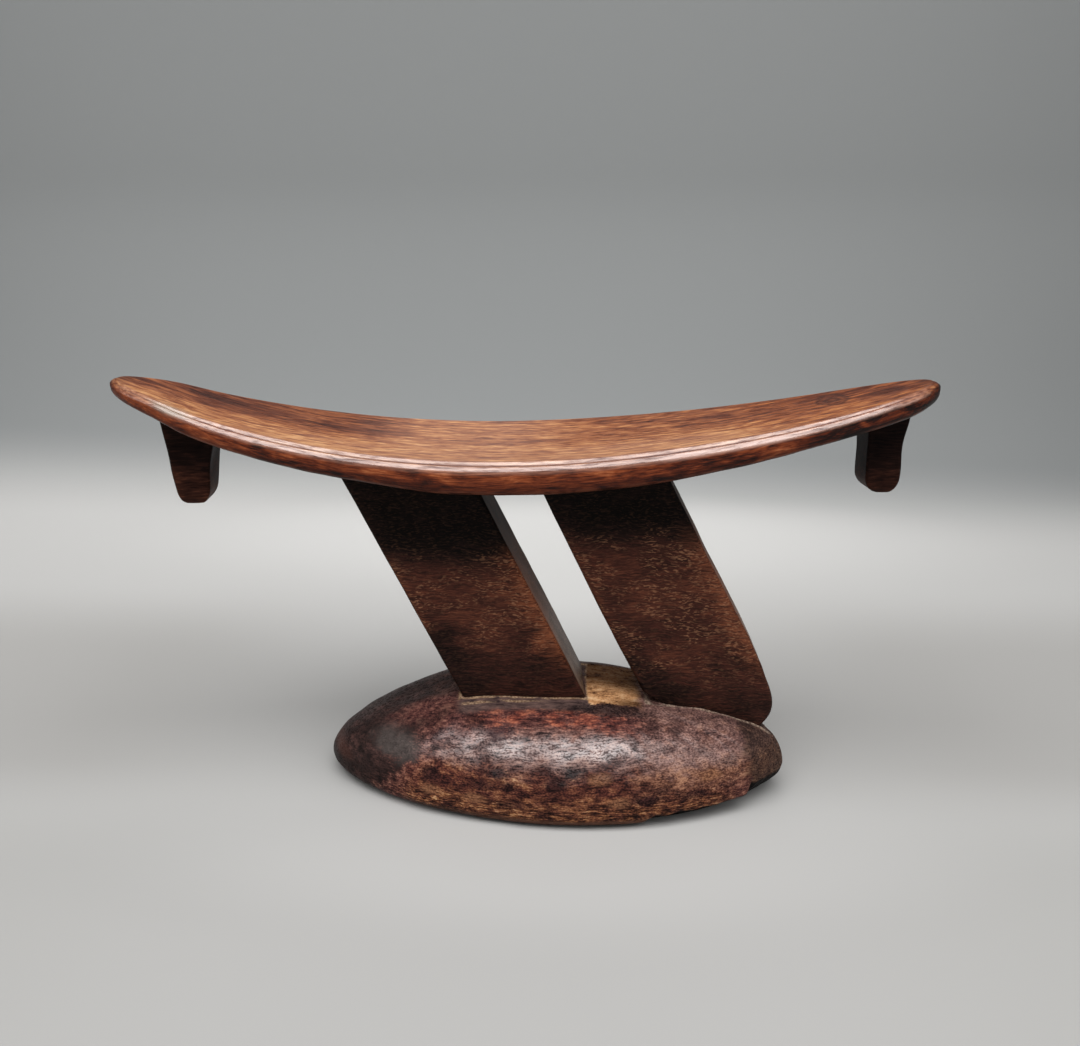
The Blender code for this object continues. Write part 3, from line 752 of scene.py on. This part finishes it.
def foot_finish():
    """Handled dark wood, finely speckled: a smooth brown lower edge with painted shade where it meets the
    floor, tan and orange streaks, red and black grit with dark spots, a mauve waxed shoulder partly painted
    as highlight, red streaks, and brown toward the struts, with a grey-violet shelf before the left strut
    that is partly painted sheen. The left end is smooth and dark with one grey patch that is partly painted
    reflection, the right shoulder finely dotted, the right end dull. Raw tan wood lies between the struts,
    darker toward the back as painted shade, and a pale line runs where each stands; the worn slope under the
    front right edge is painted near black as shade."""
    f = Finish("foot_wood")
    wear = f.mark("wear")
    bent = f.wander(f.place, 8, 1)
    broad = f.place.cells(24, 18, 9).cloud(3.0, 0.55, 0.6)
    mottle = f.wander(f.place, 10, 3).cells(8, 6, 4).cloud(3.0, 0.6)
    blot = f.wander(f.place, 5, 1.5).cells(4.4, 3.6, 2.4).cloud(2.0, 0.6)
    fibre = bent.cells(5, 1.4, 0.55).cloud(3.0, 0.62)
    grit = bent.cells(0.8, 0.7, 0.45).cloud(1.0, 0.5)
    ragged = mottle.spread(1.4) + grit.spread(0.6)
    level = f.z + mottle.spread(9) + broad.spread(4)
    low = f.y.rise(-12, -20)
    # the front: red and tan mixed in blots, and the smooth lower edge
    tone = 0.43 + mottle.spread(1.1) + blot.spread(0.6) + fibre.spread(1) + grit.spread(0.8)
    tone = tone + fibre.spread(1) * level.rise(15, 8)
    red = tone.ramp((0.0, 20, 11, 12), (0.25, 46, 24, 23), (0.45, 84, 45, 38),
                    (0.62, 116, 68, 54), (0.8, 154, 102, 80), (1.0, 196, 150, 124))
    tan = tone.ramp((0.0, 26, 16, 12), (0.25, 58, 34, 24), (0.45, 100, 61, 41),
                    (0.62, 138, 88, 57), (0.8, 174, 124, 84), (1.0, 210, 166, 122))
    colour = ((blot + mottle).spread(1.6) - 0.72 + level.rise(16, 7) * 0.5).over(red, tan)
    smooth = (0.5 + fibre.spread(1.3)).ramp((0.2, 54, 34, 27), (0.8, 112, 72, 52))
    smooth = f.x.rise(0, -30).darken(smooth, shade(190, 186, 186))
    # painted shade: the lower edge darker where it meets the floor
    smooth = f.z.rise(2.4, 0.9).darken(smooth, shade(110, 104, 100))
    colour = (f.z + grit.spread(1.6)).rise(4.8, 3.6).over(colour, smooth)
    # shoulder, its pale mauve partly painted highlight, and the red streaks above it
    shoulder = (0.5 + grit.spread(0.8) + fibre.spread(1.3) + blot.spread(0.8) + mottle.spread(0.9)).ramp(
        (0.12, 36, 24, 25), (0.45, 100, 70, 65), (0.85, 164, 126, 114))
    colour = (level.rise(21, 26) * 0.85).over(colour, shoulder)
    heat = 0.55 + fibre.spread(1.3) + blot.spread(0.9) + mottle.spread(0.9) + grit.spread(0.6)
    maroon = heat.ramp((0.1, 26, 16, 18), (0.4, 66, 37, 36), (0.65, 104, 63, 57), (0.95, 160, 110, 94))
    blaze = heat.ramp((0.1, 30, 14, 14), (0.4, 84, 37, 30), (0.65, 130, 61, 46), (0.95, 192, 108, 74))
    streaked = (mottle * 0.6 + fibre * 0.4).rise(0.46, 0.60) * f.x.rise(-24, -8) * f.x.rise(62, 48)
    maroon = (streaked * 0.7).over(maroon, blaze)
    brow = f.y + mottle.spread(9) + blot.spread(5) + f.x.rise(20, 60) * 3.0
    colour = (brow.rise(-30.5, -24.5) * 0.9).over(colour, maroon)
    blotch = f.spot((f.x, -7, 7), (f.z, 31.5, 2.8), ragged) * low
    colour = (blotch * 0.7).over(colour, shade(58, 42, 46))
    # brown toward the struts
    top = (0.5 + fibre.spread(1) + mottle.spread(0.9) + grit.spread(0.7)).ramp(
        (0.2, 38, 26, 24), (0.8, 92, 64, 56))
    colour = (brow.rise(-19.5, -15) * 0.9).over(colour, top)
    # the left end: dark above and below, a grey patch between that is partly painted reflection, red at the
    # tip
    left = (f.x - f.z * 0.65 + 54.3 + mottle.spread(22) + grit.spread(8)).rise(5, -5)
    hush = (0.45 + fibre.spread(0.6) + mottle.spread(1) + blot.spread(0.8) + grit.spread(0.5)).ramp(
        (0.2, 30, 22, 21), (0.5, 50, 36, 34), (0.8, 82, 57, 53))
    hush = f.z.rise(15, 8).darken(hush, shade(196, 192, 192))
    colour = (left * 0.92).over(colour, hush)
    speck = f.spot((f.x, -36, 20), (f.y, -9, 10), ragged)
    colour = (speck * 0.85).over(colour, maroon)
    patch = f.spot((f.x, -46, 15), (f.z, 22, 6.5), ragged * 0.8) * f.y.rise(-6, -14)
    grey = (0.5 + blot.spread(1) + grit.spread(0.6)).ramp((0.2, 66, 58, 56), (0.8, 98, 90, 86))
    colour = (patch * 0.7).over(colour, grey)
    tip = f.spot((f.x, -71, 8), (f.z, 13, 4), ragged)
    colour = (tip * 0.35).over(colour, shade(94, 60, 51))
    # the dotted right shoulder and the dull right end
    bloom = (f.x + mottle.spread(20)).rise(36, 54)
    bloom = bloom * (f.z + mottle.spread(10) + grit.spread(4)).rise(10.5, 17)
    dots = 0.5 + grit.spread(1.1) + fibre.spread(0.7) + blot.spread(0.6) + mottle.spread(0.7)
    dots = dots - (f.x + broad.spread(30)).rise(58, 72) * 0.04
    dots = dots + level.rise(28, 23) * level.rise(16, 20) * 0.14
    rosy = dots.ramp((0.15, 54, 38, 38), (0.5, 112, 82, 76), (0.85, 168, 132, 122))
    warm = dots.ramp((0.15, 56, 32, 26), (0.5, 116, 76, 60), (0.85, 176, 130, 104))
    colour = (bloom * 0.8).over(colour, (blot.spread(2) + f.z.rise(25, 17)).over(rosy, warm))
    # tan spots, and dark spots below and above the shoulder
    light_wood = (grit + fibre).rise(0.7, 1.3).over(shade(84, 50, 38), shade(166, 116, 84))
    dark_wood = (grit + blot).rise(0.8, 1.3).over(shade(24, 12, 13), shade(74, 43, 40))
    spot_edge = ragged * 0.6
    for x, z in FOOT_TAN_SPOTS:
        light = f.spot((f.x, x, 6), (f.z, z, 2.8), spot_edge) * low
        colour = (light * 0.8).over(colour, light_wood)
    for x, z, wide, high, strength in FOOT_DARK_SPOTS:
        dark = f.spot((f.x, x, wide), (f.z, z, high), spot_edge) * low * strength
        colour = dark.over(colour, dark_wood)
    dull_end = (f.x + f.z * 0.23 + mottle.spread(7) + grit.spread(3)).rise(86.5, 90.5)
    brown = 0.50 - f.z.rise(16, 25) * 0.22 + fibre.spread(0.8) + grit.spread(1) + blot.spread(1)
    brown = brown.ramp((0.2, 38, 28, 25), (0.6, 80, 58, 48), (0.95, 134, 102, 78))
    colour = (dull_end * 0.85).over(colour, brown)
    # where the struts stand
    lean = (FOOT_HEIGHT * MM - f.z) * math.tan(STRUT_LEAN) + STRUT_STAND_X * MM
    at_left = (f.x - lean - LEFT_MIDDLE * MM).size()
    at_right = (f.x - lean - RIGHT_MIDDLE * MM).size()
    front = (STRUT_SETBACK - 0.5 * STRUT_DEPTH) * MM - f.y + fibre.spread(1.6)
    # a grey-violet shelf before the left strut: partly its own colour, partly painted sheen on the flat
    shelf = (front + ragged * 2.0).rise(9.5, 6.5) * front.rise(-2, 0) * at_left.rise(28, 23)
    mauve = (0.5 + fibre.spread(1.5) + mottle.spread(0.9)).ramp((0.2, 54, 42, 43), (0.8, 114, 92, 86))
    colour = (shelf * 0.8).over(colour, mauve)
    beside = (f.y - STRUT_SETBACK * MM).size() - 0.5 * STRUT_DEPTH * MM
    seam = (at_left - 24.6).most(beside).size().least((at_right - 24.2).most(beside).size())
    seam = (seam + fibre.spread(1.4) + blot.spread(1.6) + grit.spread(0.8)).rise(1.5, 0.6)
    second = (front - 3.0 + f.x * 0.03).size().rise(1, 0.4)
    second = second * f.x.rise(12, -4) * at_left.rise(25, 23)
    seam = seam.most(second * 0.8) * mottle.rise(0.36, 0.50) * f.z.rise(22, 24.5)
    dusty = grit.rise(0.3, 0.7)
    left_chalk = dusty.over(shade(118, 88, 64), shade(196, 164, 132))
    right_chalk = dusty.over(shade(98, 80, 70), shade(170, 148, 130))
    colour = (seam * 0.85).over(colour, f.x.rise(36, 50).over(left_chalk, right_chalk))
    between = at_left.rise(23.5, 24.5) * at_right.rise(22, 23.5)
    between = between * (f.x - lean + 3.0 + blot.spread(5)).size().rise(13, 9)
    brink = f.y + mottle.spread(7) + blot.spread(6) + grit.spread(2.5)
    raw = between * brink.rise(-14, -12.6) * brink.rise(24, 21)
    bare = (0.5 + fibre.spread(0.9) + grit.spread(0.7) + blot.spread(1.3) + mottle.spread(0.6)).ramp(
        (0.1, 94, 61, 40), (0.5, 204, 150, 103), (0.9, 234, 194, 150))
    # painted shade: the raw wood darker toward the back, under the platform between the struts
    bare = (f.y.rise(-4, 7) * 0.9).darken(bare, shade(122, 106, 92))
    right_side = (f.x - lean + blot.spread(8)).rise(-6, 3) * f.y.rise(-6, -12)
    bare = (right_side * 0.95).darken(bare, shade(126, 120, 118))
    colour = raw.over(colour, bare)
    burr = f.spot((f.x, 30, 22), (f.y, -18, 5), ragged) * (1.0 - raw)
    burr_wood = (grit + blot).rise(0.9, 1.3).over(shade(24, 17, 18), shade(76, 60, 58))
    colour = (burr * 0.8).over(colour, burr_wood)
    # painted shade: the worn slope under the front right edge, near black
    colour = wear.rise(0.06, 0.22).over(colour, shade(10, 7, 6))
    # wax, thickest on the shoulder in two pools
    pores = (grit * 0.4 + fibre * 0.6).rise(0.51, 0.43)
    dull = raw.most(seam).most(shelf * 0.6).most(dull_end * 0.8).most(wear.rise(0, 0.1)).least(1.0)
    roughness = 0.40 + pores * 0.25 + dull * 0.2
    left_pool = f.x.rise(-40, -30) * f.x.rise(10, -2) * 0.85
    pools = (f.x.rise(6, 18) * f.x.rise(50, 34)).most(left_pool)
    raised = level - f.x.rise(-14, -28) * 3.0
    polish = raised.rise(17, 24).most(patch * 0.3) * (1.0 - left * 0.8) * (1.0 - blotch * 0.7)
    polish = polish * (f.z + mottle.spread(8)).rise(34, 29.5) * f.y.rise(-19, -26).most(patch)
    polish = polish * (0.5 + pools * 0.5) * (0.35 + mottle.rise(0.36, 0.56) * 0.65)
    polish = polish * (1.0 - bloom * 0.5) + 0.02
    wax = (1.0 - pores * 0.75) * (1.0 - dull) * polish
    height = fibre * 0.6 + grit * 0.4 - pores * 0.4
    return f.close(colour, roughness, wax, height, depth=0.00010, sheen=0.06, polish=0.32)


def lug_finish():
    """Smoked dark brown with faint level grain, browner toward the tips."""
    f = Finish("lug_wood")
    fibre = f.wander(f.place, 8, 0.8).cells(7, 1, 0.7).cloud(3.0, 0.62)
    broad = f.place.cells(10, 8, 7).cloud(3.0, 0.5)
    tone = 0.32 + fibre.spread(1) + broad.spread(0.8)
    tone = tone + f.z.rise(134, 114) * 0.40 - f.x.rise(0, 100) * 0.10
    colour = tone.ramp((0.0, 8, 4, 4), (0.4, 28, 15, 12), (0.7, 58, 32, 24), (1.0, 104, 62, 44))
    roughness = 0.5 + fibre.spread(0.3)
    return f.close(colour, roughness, fibre * 0.02, fibre, depth=0.00008, sheen=0.03, polish=0.35)


# Dressing the frame

rings, girth = platform_rings()
platform = skin("platform_carved", rings, platform_finish(), {"girth": girth})
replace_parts(platform, "head_platform")
rings, wear = foot_rings()
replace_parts(skin("foot_carved", rings, foot_finish(), {"wear": wear}), "foot")
left = strut_rings(LEFT_MIDDLE, LEFT_STRUT_WIDTH, seed=31, trim=0.0013, flare_right=0.0008)
left_wood = strut_finish("left_strut_wood", LEFT_MIDDLE, top_dark=93, pale_low=64, pale_high=92,
                         low_dark=58, glow=0.75)
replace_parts(skin("left_strut_carved", left, left_wood), "left_strut")
right = strut_rings(RIGHT_MIDDLE, RIGHT_STRUT_WIDTH, seed=41, heel=STRUT_HEEL, toe=0.0060, swell=STRUT_SWELL,
                    flare_left=0.0012)
right_wood = strut_finish("right_strut_wood", RIGHT_MIDDLE, top_dark=102, pale_low=50, pale_high=100,
                          low_dark=44, glow=0.48)
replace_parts(skin("right_strut_carved", right, right_wood), "right_strut")
smoked = lug_finish()
for name, sizes in LUGS.items():
    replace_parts(skin(name + "_carved", lug_rings(*sizes), smoked), name)


# Stage: a pale sweep with painted light and shade, one soft lamp above and in front, three lesser lamps, and
# plain fill

CAMERA_PLACE = (0.0167, -0.37574, 0.218)
CAMERA_DIP = 16.947
CAMERA_TURN = 1.5
CAMERA_LENS = 35.33
ROOM_LIGHT = 0.22
# lamps: place, target, length, depth, power in watts, spread in degrees
LAMPS = {
    "soft_lamp": ((0.0, -0.42, 1.02), (0.0, 0.05, 0.0), 1.4, 0.75, 13.0, 180.0),
    "back_lamp": ((-0.1, 0.46, 0.90), (-0.1, 0.42, 0.0), 1.0, 0.20, 1.0, 60.0),
    "left_lamp": ((-0.80, -0.30, 0.42), (0.0, 0.0, 0.05), 0.5, 0.4, 0.95, 180.0),
    "right_lamp": ((0.62, -0.38, 0.46), (0.0, 0.0, 0.05), 0.5, 0.4, 0.8, 180.0),
}


def sweep():
    """Floor that turns up into a backdrop: flat, then a quarter circle, then upright, carried along X."""
    near, half_length, tall, turn_start, turn = -1.6, 2.2, 1.6, 0.40, 0.24
    bend = 0.5 * np.pi * np.linspace(0.0, 1.0, 24)
    y = np.concatenate([[near, 0.0], turn_start + turn * np.sin(bend), [turn_start + turn]])
    z = np.concatenate([[0.0, 0.0], turn * (1.0 - np.cos(bend)), [tall]])
    x = np.array([-half_length, half_length])[:, None]
    points = np.stack(np.broadcast_arrays(x, y[None], z[None]), axis=-1).reshape(-1, 3)
    i = np.arange(y.size - 1)
    faces = np.stack([i, i + y.size, i + y.size + 1, i + 1], axis=-1)
    mesh = bpy.data.meshes.new("sweep")
    mesh.from_pydata(points.tolist(), [], faces.tolist())
    mesh.polygons.foreach_set("use_smooth", np.ones(i.size, dtype=bool))
    paper = Finish("paper_with_painted_light")
    # painted light and shade on the paper: the upright darker than the floor, and darker low down than higher
    # up
    wall_shade = paper.z.rise(40, 220).over(shade(131, 133, 133), shade(142, 144, 144))
    tone = (paper.y * 0.5 + paper.z + paper.x * 0.053).rise(156, 272).over(shade(184, 183, 181), wall_shade)
    # painted shadow: a darker band across the floor just behind the object, fading out toward its middle
    shaded = paper.y.rise(-40, 10) * paper.y.rise(215, 115) * paper.x.size().rise(75, 200)
    tone = shaded.darken(tone, shade(236, 235, 234))
    # painted shade: the floor in front darker toward both sides
    edge_shade = paper.x.size().rise(70, 230) * paper.y.rise(-10, -70)
    tone = edge_shade.darken(tone, shade(246, 246, 245))
    # painted light: pale pools on the floor in front of the foot, behind the gap between the struts and
    # further back
    for place, wide, deep in ((-55, 170, 60), (190, 80, 140), (300, 330, 130)):
        tone = paper.spot((paper.x, 15, wide), (paper.y, place, deep), 0).over(tone, shade(194, 193, 191))
    paper.material.node_tree.links.new(tone.socket, paper.shader.inputs["Base Color"])
    paper.shader.inputs["Roughness"].default_value = 0.9
    mesh.materials.append(paper.material)
    floor = bpy.data.objects.new("sweep", mesh)
    bpy.context.scene.collection.objects.link(floor)


def lamp(name, place, target, wide, deep, power, spread):
    """Long soft lamp at a place, turned to face a target, its beam narrowed to a spread in degrees."""
    light = bpy.data.lights.new(name, "AREA")
    light.shape = "RECTANGLE"
    light.size = wide
    light.size_y = deep
    light.energy = power
    light.spread = math.radians(spread)
    item = bpy.data.objects.new(name, light)
    item.location = place
    aim = np.array(target) - np.array(place)
    item.rotation_euler = (math.atan2(math.hypot(aim[0], aim[1]), -aim[2]), 0.0, math.atan2(-aim[0], aim[1]))
    bpy.context.scene.collection.objects.link(item)


def stand_camera():
    """Camera at the photograph's place: a hand's height above the object, a little to its right."""
    lens = bpy.data.cameras.new("camera")
    lens.sensor_width = 36.0
    lens.lens = CAMERA_LENS
    lens.clip_start = 0.01
    camera = bpy.data.objects.new("camera", lens)
    camera.location = CAMERA_PLACE
    camera.rotation_euler = (math.radians(90.0 - CAMERA_DIP), 0.0, math.radians(CAMERA_TURN))
    bpy.context.scene.collection.objects.link(camera)
    bpy.context.scene.camera = camera


sweep()
for name, setting in LAMPS.items():
    lamp(name, *setting)
world = bpy.data.worlds.new("room")
world.use_nodes = True
light = world.node_tree.nodes["Background"].inputs
light["Color"].default_value = (1.0, 1.0, 1.0, 1.0)
light["Strength"].default_value = ROOM_LIGHT
bpy.context.scene.world = world
stand_camera()
bpy.context.scene.view_settings.view_transform = "Standard"
